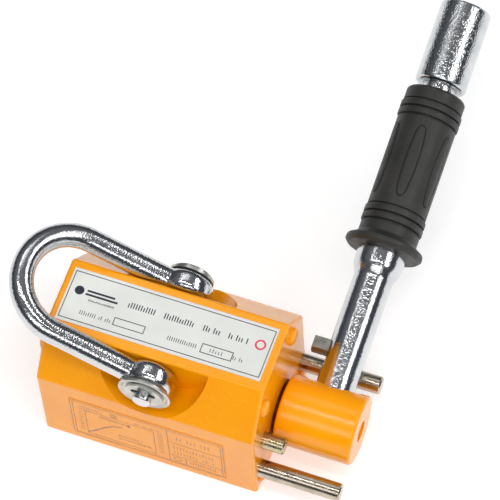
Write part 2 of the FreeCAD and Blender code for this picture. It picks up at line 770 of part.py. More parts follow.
bow = doc.addObject("Part::Torus", "bow_torus")
bind(bow, Radius1=LEG_SIDE, Radius2="bar_radius")
bow.Angle3 = 180
locate(bow, ("-leg_length", "0", "0"), Rotation(Vector(0, 0, 1), 90))
eye_bore = rod(("0", "-body_width / 2", "0"), ALONG_Y, "eye_bore_radius", "body_width")
shackle_parts = [bow, *shackle_leg(""), *shackle_leg("-"), shackle_eye(""), shackle_eye("-")]
keep("shackle", cut(fuse(*shackle_parts), eye_bore), ON_SHACKLE)


def pin_groove(start):
    blank = rod(("0", start, "shackle_pin_height"), ALONG_Y, "shackle_pin_radius + 1", "clip_thickness")
    core = rod(("0", start, "shackle_pin_height"), ALONG_Y, "clip_groove_radius", "clip_thickness")
    return cut(blank, core)


CLIP_START = "-clip_start - clip_thickness"
HEAD_START = "washer_start + washer_thickness + 0.1"
HEAD_END = HEAD_START + " + pin_head_thickness"
pin_blank = turned([
    ("0", "-shackle_pin_half"), ("shackle_pin_radius - 0.7", "-shackle_pin_half"),
    ("shackle_pin_radius", "-shackle_pin_half + 0.7"), ("shackle_pin_radius", HEAD_START),
    ("pin_head_radius", HEAD_START), ("pin_head_radius", HEAD_END + " - pin_head_bevel"),
    ("pin_head_radius - pin_head_bevel", HEAD_END), ("0", HEAD_END)])
locate(pin_blank, ("0", "0", "shackle_pin_height"), ALONG_Y)
keep("shackle_pin", cut(pin_blank, pin_groove(CLIP_START)))


def dished_washer():
    """A washer whose rim turns outwards a little."""
    return turned([
        ("washer_bore_radius", "0"), ("washer_radius - 1.4", "0"), ("washer_radius", "0.7"),
        ("washer_radius", "0.7 + washer_thickness"), ("washer_radius - 1.8", "washer_thickness"),
        ("washer_bore_radius", "washer_thickness")])


near_washer = dished_washer()
locate(near_washer, ("0", "-washer_start", "shackle_pin_height"), Rotation(Vector(1, 0, 0), 90))
keep("near_washer", near_washer)

keep("far_washer", cut(
    rod(("0", "washer_start", "shackle_pin_height"), ALONG_Y, "far_washer_radius", "washer_thickness"),
    rod(("0", "washer_start", "shackle_pin_height"), ALONG_Y, "washer_bore_radius", "washer_thickness")))


def e_clip(start):
    """An E-shaped clip: a ring with three lugs on the groove and an open mouth below."""
    disc = rod(("0", start, "shackle_pin_height"), ALONG_Y, "clip_radius", "clip_thickness")
    core = rod(("0", start, "shackle_pin_height"), ALONG_Y, "clip_groove_radius", "clip_thickness")
    mouth = box(("-clip_groove_radius * 0.8", start, "shackle_pin_height - clip_radius - 1"),
                ("clip_groove_radius * 1.6", "clip_thickness", "clip_radius + 1"))
    relief = [rod((f"{sign}clip_radius * 0.45", start, "shackle_pin_height + clip_radius * 0.22"),
                  ALONG_Y, "clip_radius * 0.2", "clip_thickness") for sign in ("-", "")]
    return cut(disc, core, mouth, *relief)


keep("near_e_clip", e_clip(CLIP_START))


# ---------------------------------------------------------------------------
# Check every object, then write each sub-part
# ---------------------------------------------------------------------------
doc.recompute()

troubled = [obj.Name for obj in doc.Objects if "Invalid" in obj.State or "Error" in obj.State]
if troubled:
    raise RuntimeError("objects that failed: " + ", ".join(troubled))

for obj in doc.Objects:
    if obj.TypeId == "Part::Cut" and obj.Shape.Volume >= obj.Base.Shape.Volume - 1e-6:
        raise RuntimeError(obj.Name + " cuts nothing")

os.makedirs("parts", exist_ok=True)
for name, obj in nodes.items():
    shape = obj.Shape
    if shape.isNull() or not shape.isValid() or not shape.Solids:
        raise RuntimeError("bad shape: " + name)
    shape.exportStep(f"parts/{name}.step")
    print(f"{name:24s} {len(shape.Solids)} solid(s) {shape.Volume:10.1f} mm3")

handle_direction = ON_HANDLE.Rotation.multVec(Vector(0, 0, 1))
print("handle rest angle", round(handle_rest, 3), "direction", handle_direction)
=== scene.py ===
"""The lifting magnet's visible surfaces, lights and camera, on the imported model's frame."""
import bpy
import bmesh
import json
import math
from mathutils import Matrix, Vector


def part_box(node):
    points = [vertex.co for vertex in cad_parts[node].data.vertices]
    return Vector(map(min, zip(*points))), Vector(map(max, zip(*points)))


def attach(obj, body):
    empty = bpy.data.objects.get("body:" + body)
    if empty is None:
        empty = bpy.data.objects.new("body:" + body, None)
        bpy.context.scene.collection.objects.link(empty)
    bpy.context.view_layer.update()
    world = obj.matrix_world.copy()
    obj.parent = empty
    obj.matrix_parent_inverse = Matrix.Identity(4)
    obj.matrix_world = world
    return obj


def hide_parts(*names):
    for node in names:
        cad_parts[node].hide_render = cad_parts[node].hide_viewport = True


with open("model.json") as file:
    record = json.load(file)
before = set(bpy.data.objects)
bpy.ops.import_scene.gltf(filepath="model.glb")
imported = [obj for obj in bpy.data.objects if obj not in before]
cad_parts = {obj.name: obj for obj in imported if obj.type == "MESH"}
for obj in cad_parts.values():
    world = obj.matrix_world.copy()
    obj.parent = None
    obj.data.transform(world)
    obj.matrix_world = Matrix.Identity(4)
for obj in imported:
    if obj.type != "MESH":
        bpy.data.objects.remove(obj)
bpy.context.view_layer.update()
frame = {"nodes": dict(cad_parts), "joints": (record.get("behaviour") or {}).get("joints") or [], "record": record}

MM = 0.001
TURN = 2 * math.pi

# ---------------------------------------------------------------------------
# Places, all read from the frame
# ---------------------------------------------------------------------------
record = frame["record"]
joints = {joint["name"]: joint for joint in frame["joints"]}
mounts = {mount["name"]: mount for mount in record["mounts"]}

handle_origin = Vector(joints["handle_turn"]["pos_m"])
handle_out = -Vector(joints["knob_slide"]["axis"])
handle_side = Vector((1, 0, 0)).cross(handle_out)
shackle_origin = Vector(joints["shackle_swing"]["pos_m"])
bow_out = (Vector(mounts["hook_seat"]["pos_m"]) - shackle_origin).normalized()


def axes_matrix(origin, x_axis, y_axis, z_axis):
    """A matrix that carries local axes to the given directions at the given origin."""
    columns = Matrix((x_axis, y_axis, z_axis)).transposed()
    return Matrix.Translation(origin) @ columns.to_4x4()


# Local +Z runs out along the handle and local +X along the rotor.
HANDLE = axes_matrix(handle_origin, Vector((1, 0, 0)), -handle_side, handle_out)
# Local -X runs from the cross pin to the crown of the bow and local +Y along the pin.
SHACKLE = axes_matrix(shackle_origin, -bow_out, Vector((0, 1, 0)), (-bow_out).cross(Vector((0, 1, 0))))
# Local +Z runs along the cross pin and out of the near side.
CROSS_PIN = axes_matrix(Vector((shackle_origin.x, 0, shackle_origin.z)),
                        Vector((1, 0, 0)), Vector((0, 0, 1)), Vector((0, -1, 0)))


# ---------------------------------------------------------------------------
# Materials
# ---------------------------------------------------------------------------
class Nodes:
    """A short way of adding nodes to one material."""

    def __init__(self, name):
        self.material = bpy.data.materials.new(name)
        self.material.use_nodes = True
        self.tree = self.material.node_tree
        self.shader = self.tree.nodes["Principled BSDF"]
        self.place = self.add("ShaderNodeTexCoord").outputs["Object"]

    def add(self, kind, **settings):
        """A node of a kind, with its settings."""
        node = self.tree.nodes.new(kind)
        for key, value in settings.items():
            setattr(node, key, value)
        return node

    def link(self, source, target):
        self.tree.links.new(source, target)

    def set(self, **values):
        """Plain numbers and colours, straight on the shader's sockets."""
        for key, value in values.items():
            self.shader.inputs[key.replace("_", " ")].default_value = value

    def noise(self, scale, detail, stretch=None):
        """Noise over the object, with scale in cycles per metre."""
        node = self.add("ShaderNodeTexNoise")
        node.inputs["Scale"].default_value = scale
        node.inputs["Detail"].default_value = detail
        source = self.place
        if stretch is not None:
            mapping = self.add("ShaderNodeMapping")
            mapping.inputs["Scale"].default_value = stretch
            self.link(source, mapping.inputs["Vector"])
            source = mapping.outputs["Vector"]
        self.link(source, node.inputs["Vector"])
        return node.outputs["Fac"]

    def spread(self, value, low, high, start=0.0, end=1.0):
        """value carried from low..high to start..end, held within them."""
        node = self.add("ShaderNodeMapRange")
        self.link(value, node.inputs["Value"])
        for key, number in (("From Min", low), ("From Max", high), ("To Min", start), ("To Max", end)):
            node.inputs[key].default_value = number
        return node.outputs["Result"]

    def mix(self, factor, first, second):
        """A colour between two, by factor. Each may be a colour or a socket."""
        node = self.add("ShaderNodeMix", data_type="RGBA")
        self.link(factor, node.inputs["Factor"])
        for key, colour in (("A", first), ("B", second)):
            socket = next(s for s in node.inputs if s.name == key and s.type == "RGBA")
            if isinstance(colour, tuple):
                socket.default_value = colour
            else:
                self.link(colour, socket)
        return next(s for s in node.outputs if s.type == "RGBA")

    def bump(self, height, strength, distance):
        """Bump from a height in 0..1, stacked on any bump already there."""
        node = self.add("ShaderNodeBump")
        node.inputs["Strength"].default_value = strength
        node.inputs["Distance"].default_value = distance
        self.link(height, node.inputs["Height"])
        normal = self.shader.inputs["Normal"]
        if normal.is_linked:
            self.link(normal.links[0].from_socket, node.inputs["Normal"])
        self.link(node.outputs["Normal"], normal)

    def colour(self, source):
        self.link(source, self.shader.inputs["Base Color"])

    def rough(self, source):
        self.link(source, self.shader.inputs["Roughness"])


def rgb(red, green, blue):
    return (red, green, blue, 1.0)


def orange_paint():
    """Thick glossy enamel: orange peel, slight pooling of colour and a few specks of dust."""
    m = Nodes("orange_paint")
    m.set(IOR=1.5)
    pooling = m.spread(m.noise(38, 3), 0.35, 0.65)
    base = m.mix(pooling, rgb(1.0, 0.372, 0.0), rgb(0.96, 0.338, 0.001))
    specks = m.spread(m.noise(900, 1), 0.80, 0.85)
    m.colour(m.mix(specks, base, rgb(0.55, 0.13, 0.004)))
    m.rough(m.spread(m.noise(160, 3), 0.3, 0.7, 0.10, 0.18))
    m.bump(m.noise(1300, 1), strength=0.22, distance=0.0004)
    m.bump(m.noise(60, 2), strength=0.10, distance=0.001)
    return m.material


def chrome():
    """Bright plating over a forged or ground surface, with fine grain."""
    m = Nodes("chrome")
    m.set(Metallic=1.0)
    m.colour(m.mix(m.spread(m.noise(90, 3), 0.3, 0.7), rgb(0.68, 0.69, 0.70), rgb(0.57, 0.58, 0.60)))
    m.rough(m.spread(m.noise(260, 4), 0.3, 0.75, 0.075, 0.125))
    m.bump(m.noise(1600, 1), strength=0.36, distance=0.0002)
    m.bump(m.noise(200, 2), strength=0.02, distance=0.0006)
    return m.material


def knob_chrome():
    """Plating over a rougher turned surface, so that the highlights break into grains."""
    m = Nodes("knob_chrome")
    m.set(Metallic=1.0)
    m.colour(m.mix(m.spread(m.noise(120, 3), 0.3, 0.7), rgb(0.66, 0.67, 0.68), rgb(0.54, 0.56, 0.58)))
    m.rough(m.spread(m.noise(400, 4), 0.3, 0.75, 0.05, 0.09))
    m.bump(m.noise(1400, 1), strength=0.60, distance=0.0003)
    return m.material


def turned_steel(name, light, dark, low_rough, high_rough, stretch=(1.0, 1.0, 1.0)):
    """Bare or thinly plated steel with fine tool marks."""
    m = Nodes(name)
    m.set(Metallic=1.0)
    m.colour(m.mix(m.spread(m.noise(220, 4), 0.3, 0.7), light, dark))
    m.rough(m.spread(m.noise(500, 4, stretch=stretch), 0.3, 0.7, low_rough, high_rough))
    m.bump(m.noise(1500, 2, stretch=stretch), strength=0.18, distance=0.0002)
    return m.material


def rubber(name, fresh, dusty):
    """Charcoal moulded rubber: matt, faintly mottled, with a dusty bloom."""
    m = Nodes(name)
    m.set(IOR=1.48, Specular_IOR_Level=0.45)
    m.colour(m.mix(m.spread(m.noise(70, 4), 0.42, 0.72), fresh, dusty))
    m.rough(m.spread(m.noise(300, 3), 0.3, 0.7, 0.42, 0.56))
    m.bump(m.noise(2600, 2), strength=0.22, distance=0.0001)
    return m.material


def plate_metal():
    """Satin lacquered aluminium sheet with a faint lengthwise grain."""
    m = Nodes("plate_metal")
    m.set(Metallic=0.15, IOR=1.5)
    m.colour(m.mix(m.spread(m.noise(60, 3), 0.3, 0.7), rgb(0.80, 0.81, 0.77), rgb(0.73, 0.74, 0.70)))
    m.rough(m.spread(m.noise(900, 3, stretch=(0.05, 1.0, 1.0)), 0.3, 0.7, 0.32, 0.44))
    m.bump(m.noise(2400, 2, stretch=(0.04, 1.0, 1.0)), strength=0.06, distance=0.0001)
    return m.material


def ink(name, dark, worn):
    """Printed ink, slightly worn in patches."""
    m = Nodes(name)
    m.colour(m.mix(m.spread(m.noise(900, 3), 0.5, 0.8), dark, worn))
    m.rough(m.spread(m.noise(600, 2), 0.3, 0.7, 0.35, 0.5))
    return m.material


CHROME = chrome()
KNOB_CHROME = knob_chrome()
ZINC = turned_steel("zinc_steel", rgb(0.66, 0.66, 0.62), rgb(0.50, 0.50, 0.47), 0.26, 0.44)
RUBBER = rubber("grip_rubber", rgb(0.0265, 0.0260, 0.0240), rgb(0.038, 0.037, 0.034))
# Near-black rubber for the lines around the grip's panels: painted shade of their moulded grooves.
GROOVE_SHADE_RUBBER = rubber("groove_shade_rubber", rgb(0.003, 0.003, 0.003), rgb(0.006, 0.006, 0.006))
MATERIALS = {
    "orange_paint": orange_paint(),
    "label_print": orange_paint(),
    "chrome": CHROME,
    "pin_steel": turned_steel("pin_steel", rgb(0.58, 0.51, 0.42), rgb(0.43, 0.37, 0.29), 0.16, 0.28),
    "zinc_steel": ZINC,
    "yellow_zinc": turned_steel("yellow_zinc", rgb(0.60, 0.53, 0.34), rgb(0.46, 0.39, 0.23), 0.18, 0.34),
    "key_steel": turned_steel("key_steel", rgb(0.36, 0.36, 0.33), rgb(0.20, 0.20, 0.18), 0.28, 0.45,
                              (1.0, 1.0, 0.08)),
    "bare_steel": turned_steel("bare_steel", rgb(0.50, 0.49, 0.48), rgb(0.40, 0.39, 0.38), 0.22, 0.38),
    # The black_steel slot is dark orange-brown, not black: the orange paint beside it, darkened as painted shade
    # of the narrow gap between hub and end cover.
    "black_steel": turned_steel("black_steel", rgb(0.20, 0.055, 0.008), rgb(0.09, 0.024, 0.005), 0.4, 0.6),
    "plate_metal": plate_metal(),
    "brass": turned_steel("brass", rgb(0.62, 0.44, 0.17), rgb(0.50, 0.34, 0.12), 0.25, 0.4),
    "spacer_metal": turned_steel("spacer_metal", rgb(0.60, 0.60, 0.61), rgb(0.52, 0.52, 0.53), 0.25, 0.4),
    "magnet": turned_steel("magnet", rgb(0.42, 0.41, 0.42), rgb(0.35, 0.34, 0.35), 0.2, 0.35),
    "bearing_bronze": turned_steel("bearing_bronze", rgb(0.48, 0.28, 0.12), rgb(0.38, 0.21, 0.08), 0.3, 0.5),
    "grip_rubber": RUBBER,
    "seal_rubber": RUBBER,
}
NAVY_INK = ink("navy_ink", rgb(0.010, 0.013, 0.030), rgb(0.045, 0.05, 0.08))
RED_INK = ink("red_ink", rgb(0.72, 0.05, 0.10), rgb(0.80, 0.14, 0.19))
CHART_INK = ink("chart_ink", rgb(0.19, 0.075, 0.055), rgb(0.40, 0.16, 0.07))

# Each CAD node that stays in view takes the material of its slot.
for subpart in record["subparts"]:
    node = frame["nodes"][subpart["node"]]
    node.data.materials.clear()
    node.data.materials.append(MATERIALS[subpart["material_slot"]])


# ---------------------------------------------------------------------------
# Shapes, built in millimetres in a local frame
# ---------------------------------------------------------------------------
MERGE_GAP = 0.001
LEAST_FILLET = 0.01
# Half the angle at a corner above which it counts as straight and gets no fillet.
NEARLY_STRAIGHT = math.radians(88)
# Corners nearer than this are one corner, and a fillet takes at most this share of a side.
REPEAT_GAP = 0.05
FILLET_SHARE = 0.45


def local_points(node, matrix):
    """A CAD node's vertices in a local frame, in millimetres."""
    inverse = matrix.inverted()
    return [(inverse @ vertex.co) / MM for vertex in frame["nodes"][node].data.vertices]


def radius_of(point):
    """The distance from the local Z axis."""
    return math.hypot(point.x, point.y)


def smooth_rise(t):
    """From 0 to 1 as t does, level at both ends."""
    return t * t * (3 - 2 * t)


def counted_from(radius, height, profile):
    """A profile's corners of (radius, height, fillet), counted from a radius and a height."""
    return [(radius + r, height + z, fillet) for r, z, fillet in profile]


def shortest_side(corners, index):
    """The shorter of a corner's two sides."""
    r, z = corners[index][:2]
    others = [corners[other] for other in (index - 1, index + 1) if 0 <= other < len(corners)]
    return min(math.hypot(r - other[0], z - other[1]) for other in others)


def eased(corners):
    """The corners without repeats, and with no fillet longer than its sides allow."""
    kept = [corners[0]]
    for corner in corners[1:]:
        if math.hypot(corner[0] - kept[-1][0], corner[1] - kept[-1][1]) > REPEAT_GAP:
            kept.append(corner)
    return [(r, z, min(fillet, FILLET_SHARE * shortest_side(kept, index)))
            for index, (r, z, fillet) in enumerate(kept)]


def filleted(corners, steps=6):
    """Corners given as (radius, height, fillet): the outline with its corners rounded by arcs."""
    points = []
    for index, (r, z, fillet) in enumerate(corners):
        here = Vector((r, z))
        if fillet < LEAST_FILLET or index in (0, len(corners) - 1):
            points.append(here)
            continue
        before = (Vector(corners[index - 1][:2]) - here).normalized()
        after = (Vector(corners[index + 1][:2]) - here).normalized()
        half = before.angle(after) / 2
        if half > NEARLY_STRAIGHT:
            points.append(here)
            continue
        centre = here + (before + after).normalized() * (fillet / math.sin(half))
        first = here + before * (fillet / math.tan(half)) - centre
        last = here + after * (fillet / math.tan(half)) - centre
        for step in range(steps + 1):
            points.append(centre + first.lerp(last, step / steps).normalized() * fillet)
    return points


def turned(outline, steps):
    """Vertices and faces of an outline of (radius, height) turned about the local Z axis."""
    vertices, faces = [], []
    count = len(outline)
    for turn in range(steps):
        angle = TURN * turn / steps
        vertices += [(r * math.cos(angle), r * math.sin(angle), z) for r, z in outline]
    for turn in range(steps):
        a, b = turn * count, (turn + 1) % steps * count
        faces += [(a + k, b + k, b + k + 1, a + k + 1) for k in range(count - 1)]
    return vertices, faces


def turned_about_y(outline, steps):
    """The same about the local Y axis, for an outline of (radius, y)."""
    vertices, faces = turned(outline, steps)
    return [Vector((x, z, y)) for x, y, z in vertices], faces


def swept(path, radii, sides, closed=False):
    """Vertices and faces of a round bar along a path of points, with a radius at each point."""
    vertices, faces = [], []
    count = len(path)
    normal = None
    for index, point in enumerate(path):
        ahead = path[(index + 1) % count] if closed else path[min(index + 1, count - 1)]
        behind = path[index - 1] if closed else path[max(index - 1, 0)]
        along = (ahead - behind).normalized()
        if normal is None:
            normal = along.orthogonal().normalized()
        normal = (normal - along * normal.dot(along)).normalized()
        across = along.cross(normal)
        for side in range(sides):
            angle = TURN * side / sides
            offset = (normal * math.cos(angle) + across * math.sin(angle)) * radii[index]
            vertices.append(point + offset)
    for index in range(count if closed else count - 1):
        a, b = index * sides, (index + 1) % count * sides
        for side in range(sides):
            following = (side + 1) % sides
            faces.append((a + side, a + following, b + following, b + side))
    if not closed:
        faces.append(tuple(range(sides)))
        faces.append(tuple(range((count - 1) * sides, count * sides)))
    return vertices, faces


def joined(*shapes):
    """Several (vertices, faces) pairs as one."""
    vertices, faces = [], []
    for more_vertices, more_faces in shapes:
        start = len(vertices)
        vertices += more_vertices
        faces += [tuple(start + index for index in face) for face in more_faces]
    return vertices, faces


# ---------------------------------------------------------------------------
# Meshes, objects and pieces
# ---------------------------------------------------------------------------
def merged_mesh(name, vertices, faces, gap):
    """A mesh with points nearer than the gap merged and with its faces turned outwards."""
    mesh = bpy.data.meshes.new(name)
    mesh.from_pydata(vertices, [], faces)
    shape = bmesh.new()
    shape.from_mesh(mesh)
    bmesh.ops.remove_doubles(shape, verts=shape.verts, dist=gap)
    bmesh.ops.recalc_face_normals(shape, faces=shape.faces)
    shape.to_mesh(mesh)
    shape.free()
    return mesh


def shade_smooth(mesh):
    mesh.polygons.foreach_set("use_smooth", [True] * len(mesh.polygons))


def mesh_from(name, vertices, faces, matrix):
    """A smooth mesh from points in millimetres, carried by a matrix into the row frame."""
    carried = [matrix @ (Vector(vertex) * MM) for vertex in vertices]
    mesh = merged_mesh(name, carried, faces, MERGE_GAP * MM)
    shade_smooth(mesh)
    return mesh


def turned_mesh(name, outline, matrix, steps=96):
    """An outline of (radius, height) turned about the local Z axis, as a mesh."""
    return mesh_from(name, *turned(outline, steps), matrix)


def new_object(name, data):
    """An object in the scene."""
    made = bpy.data.objects.new(name, data)
    bpy.context.scene.collection.objects.link(made)
    return made


def mesh_with_modifiers(thing):
    """An object's mesh as its modifiers leave it."""
    bpy.context.view_layer.update()
    return bpy.data.meshes.new_from_object(thing.evaluated_get(bpy.context.evaluated_depsgraph_get()))


def add_piece(name, mesh, material, body, slot, *nodes, sharp=math.radians(40)):
    """One visible piece, riding on a body and standing for the CAD nodes named."""
    mesh.set_sharp_from_angle(angle=sharp)
    piece = new_object(name, mesh)
    mesh.materials.append(material)
    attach(piece, body)
    if nodes:
        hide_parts(*nodes)
    return piece


# ---------------------------------------------------------------------------
# Handle: tube, grip and knob
# ---------------------------------------------------------------------------
# Along the handle from its joint: the tube is plain up to here, and its slot lies between these.
PLAIN_TUBE_END = 20
SLOT_REGION = (15, 45)
CUTTER_MARGIN = 1.0
# The flare under the grip begins and ends this far below the collar's top.
FLARE_START = 12.6
FLARE_END = 6.0
FLARE_STEPS = 12


def add_tube():
    """The chromed tube with its flared collar under the grip and the slot that the key slides in."""
    points = local_points("handle_tube", HANDLE)
    bottom, top = min(p.z for p in points), max(p.z for p in points)
    collar_radius = max(radius_of(p) for p in points)
    tube_radius = max(radius_of(p) for p in points if p.z < PLAIN_TUBE_END)
    bore_radius = min(radius_of(p) for p in points if p.z > top - 1)
    collar_top = max(p.z for p in points if radius_of(p) > collar_radius - 0.3)
    flare_start, flare_end = collar_top - FLARE_START, collar_top - FLARE_END
    outline = [(bore_radius, bottom), (tube_radius, bottom)]
    for step in range(FLARE_STEPS + 1):
        t = step / FLARE_STEPS
        outline.append((tube_radius + (collar_radius - tube_radius) * smooth_rise(t),
                        flare_start + (flare_end - flare_start) * t))
    outline += [(collar_radius, collar_top), (tube_radius, collar_top), (tube_radius, top),
                (bore_radius, top), (bore_radius, bottom)]
    tube = add_piece("chromed_tube", turned_mesh("chromed_tube", outline, HANDLE), CHROME,
                     "rotor_and_handle", "chrome", "handle_tube")
    cut_slot(tube, points, tube_radius)


def cut_slot(tube, points, tube_radius):
    """Cut the key's slot through one wall, where the CAD tube has it."""
    low, high = SLOT_REGION
    edges = [p for p in points if low < p.z < high and radius_of(p) < tube_radius + 0.1]
    corners = [(x, y, z) for x in (-tube_radius - CUTTER_MARGIN, 0)
               for y in (min(p.y for p in edges), max(p.y for p in edges))
               for z in (min(p.z for p in edges), max(p.z for p in edges))]
    box_faces = [(0, 1, 3, 2), (4, 6, 7, 5), (0, 4, 5, 1), (2, 3, 7, 6), (0, 2, 6, 4), (1, 5, 7, 3)]
    cutter = new_object("slot_cutter", mesh_from("slot_cutter", corners, box_faces, HANDLE))
    boolean = tube.modifiers.new("slot", "BOOLEAN")
    boolean.operation = "DIFFERENCE"
    boolean.object = cutter
    boolean.solver = "EXACT"
    cut = mesh_with_modifiers(tube)
    tube.modifiers.clear()
    tube.data = cut
    bpy.data.objects.remove(cutter)


# The guard flange, as (radius, height, fillet): its rim counted from the largest radius and its
# root from the grip's body, both up from the grip's foot.
GUARD_RIM = ((-3.2, 0.0, 0.3), (-1.4, 0.0, 0.9), (0.0, 1.4, 1.2), (-0.2, 3.2, 1.2))
GUARD_ROOT = ((1.4, 4.4, 1.0), (0.0, 6.0, 0.8))
# The guard lies within this height of the foot.
GUARD_REGION = 20
# The body lies this far under the CAD's belly, and the ribs stand this far over it.
BELLY_STEP = 0.4
RIB_PROUD = 0.1
# Grooves: how many at each end, their depth under the body, and how far each wall leans out at its
# lip and in at its floor.
GROOVES_PER_END = 3
GROOVE_DEPTH = 0.9
GROOVE_LIP = 0.05
GROOVE_LEAN = 0.12
GROOVE_LIP_FILLET = 0.35
GROOVE_FLOOR_FILLET = 0.1
# A CAD groove's floor lies between these depths, and at least this far from the grip's foot and end.
GROOVE_FLOOR_DEPTHS = (0.35, 1.2)
GROOVE_REGION = (6, 2)
# The recess in the grip's end, which the knob's skirt sinks into.
RECESS_DEPTH = 4.2
RECESS_FILLET = 0.5
GRIP_END_FILLET = 1.5


def groove_edges(points, low, high, body):
    """The height where each CAD groove begins and ends, from the grip's foot up."""
    shallowest, deepest = GROOVE_FLOOR_DEPTHS
    foot, end = GROOVE_REGION
    heights = sorted({round(p.z, 2) for p in points if low + foot < p.z < high - end
                      and body - deepest < radius_of(p) < body - shallowest})
    return list(zip(heights[0::2], heights[1::2]))


def groove_corners(before, after, first, last, floor):
    """One groove's corners, from the radius before it to the radius after it."""
    return [(before, first - GROOVE_LIP, GROOVE_LIP_FILLET),
            (floor, first + GROOVE_LEAN, GROOVE_FLOOR_FILLET),
            (floor, last - GROOVE_LEAN, GROOVE_FLOOR_FILLET),
            (after, last + GROOVE_LIP, GROOVE_LIP_FILLET)]


def add_grip():
    """The moulded grip: guard flange, ribs at both ends, and lens-shaped panels around the belly."""
    points = local_points("handle_grip", HANDLE)
    low, high = min(p.z for p in points), max(p.z for p in points)
    guard = max(radius_of(p) for p in points)
    belly = max(radius_of(p) for p in points if p.z > low + GUARD_REGION)
    recess = min(radius_of(p) for p in points if p.z > high - 0.01)
    bore = min(radius_of(p) for p in points)
    body = belly - BELLY_STEP
    rib = belly + RIB_PROUD
    edges = groove_edges(points, low, high, body)
    corners = [(bore, low, 0)] + counted_from(guard, low, GUARD_RIM) + counted_from(body, low, GUARD_ROOT)
    for number, (first, last) in enumerate(edges):
        before = body if number % GROOVES_PER_END == 0 else rib
        after = body if number % GROOVES_PER_END == GROOVES_PER_END - 1 else rib
        corners += groove_corners(before, after, first, last, body - GROOVE_DEPTH)
    corners += [(body, high, GRIP_END_FILLET), (recess, high, RECESS_FILLET),
                (recess, high - RECESS_DEPTH, 0), (bore, high - RECESS_DEPTH, 0)]
    outline = filleted(eased(corners))
    add_piece("moulded_grip", turned_mesh("moulded_grip", outline, HANDLE, 128), RUBBER,
              "rotor_and_handle", "grip_rubber", "handle_grip", sharp=math.radians(60))
    add_panels(edges[GROOVES_PER_END - 1][1] + PANEL_MARGIN, edges[GROOVES_PER_END][0] - PANEL_MARGIN, body)


# Angles on the grip are counted from the side that faces up when the handle rests at OFF.
FACES_UP = (HANDLE.to_3x3() @ Vector((0, -1, 0))).z > 0
PANEL_FRAME = HANDLE if FACES_UP else HANDLE @ Matrix.Rotation(math.pi, 4, "Z")

GRIP_PANELS = 6
PANEL_TURN = math.radians(3.5)
PANEL_MARGIN = 4.0
PANEL_HALF_WIDTH = 2.75
# A panel loses this share of its width towards its ends, and the power makes them round but blunt.
PANEL_TAPER = 0.42
PANEL_BLUNTNESS = 16
# The pad fills this share of the panel's length, in this many rows and columns.
PAD_LENGTH = 0.985
PAD_ROWS = 120
PAD_COLUMNS = 12
# Heights from the grip's body: the pad's underside and sunk edge, its shoulder, and the crown on that.
PAD_UNDERSIDE = -0.6
PAD_EDGE = -0.3
PAD_SHOULDER = 0.10
PAD_CROWN = 0.16
RIDGE_HEIGHT = 0.09
RIDGE_PITCH = 1.1
# The moulded line around a panel, a near-black bar: painted shade of the groove there.
OUTLINE_RADIUS = 0.19
OUTLINE_LIFT = 0.02
OUTLINE_STEPS = 96


def panel_half_width(t):
    """Half the panel's width at t from -1 to 1 along it: a slender lens with round, blunt ends."""
    end = math.sqrt(max(1 - abs(t) ** PANEL_BLUNTNESS, 0))
    return PANEL_HALF_WIDTH * (1 - PANEL_TAPER * t * t) * end


def on_grip(centre_angle, across, along, r):
    """A point on the grip, across being an arc length from a panel's middle line."""
    angle = centre_angle + across / r
    return Vector((r * math.sin(angle), -r * math.cos(angle), along))


def panel_pad(centre_angle, middle, half_length, body, ribbed):
    """A low closed pad that rises out of the grip; the ribbed ones carry fine cross ridges."""
    vertices, faces = [], []
    ring = PAD_COLUMNS + 3
    for row in range(PAD_ROWS + 1):
        t = PAD_LENGTH * (2 * row / PAD_ROWS - 1)
        half_width = panel_half_width(t)
        ridge = RIDGE_HEIGHT * (1 + math.sin(TURN * t * half_length / RIDGE_PITCH)) if ribbed else 0.0
        section = []
        for column in range(PAD_COLUMNS + 1):
            w = -1 + 2 * column / PAD_COLUMNS
            at_edge = column in (0, PAD_COLUMNS) or row in (0, PAD_ROWS)
            section.append((w, PAD_EDGE if at_edge else PAD_SHOULDER + (PAD_CROWN + ridge) * (1 - w * w)))
        for w, lift in section + [(1, PAD_UNDERSIDE), (-1, PAD_UNDERSIDE)]:
            vertices.append(on_grip(centre_angle, w * half_width, middle + t * half_length, body + lift))
    for row in range(PAD_ROWS):
        a, b = row * ring, (row + 1) * ring
        faces += [(a + k, a + (k + 1) % ring, b + (k + 1) % ring, b + k) for k in range(ring)]
    faces += [tuple(range(ring - 1, -1, -1)), tuple(PAD_ROWS * ring + k for k in range(ring))]
    return vertices, faces


def panel_outline(centre_angle, middle, half_length, body):
    """The moulded line around a panel, drawn as a thin near-black bar on the grip: painted shade of the groove."""
    path = []
    for step in range(OUTLINE_STEPS):
        angle = TURN * step / OUTLINE_STEPS
        t = math.sin(angle)
        side = 1 if math.cos(angle) > 0 else -1
        path.append(on_grip(centre_angle, side * panel_half_width(t), middle + t * half_length,
                            body + OUTLINE_LIFT))
    return swept(path, [OUTLINE_RADIUS] * len(path), sides=8, closed=True)


def add_panels(low, high, body):
    """The pads between two heights on the grip and their lines, near-black as painted shade of the grooves around
    the pads; all but the uppermost are ribbed.
    """
    middle, half_length = (low + high) / 2, (high - low) / 2
    for number in range(GRIP_PANELS):
        angle = PANEL_TURN + TURN * number / GRIP_PANELS
        pad = panel_pad(angle, middle, half_length, body, ribbed=number != 0)
        line = panel_outline(angle, middle, half_length, body)
        for name, shape, material in (("grip_panel", pad, RUBBER), ("grip_panel_shade_line", line, GROOVE_SHADE_RUBBER)):
            add_piece(f"{name}_{number + 1}", mesh_from(name, *shape, PANEL_FRAME), material,
                      "rotor_and_handle", "grip_rubber")


# Pieces that reach the CAD's outermost faces stay this far inside them.
INSET = 0.1
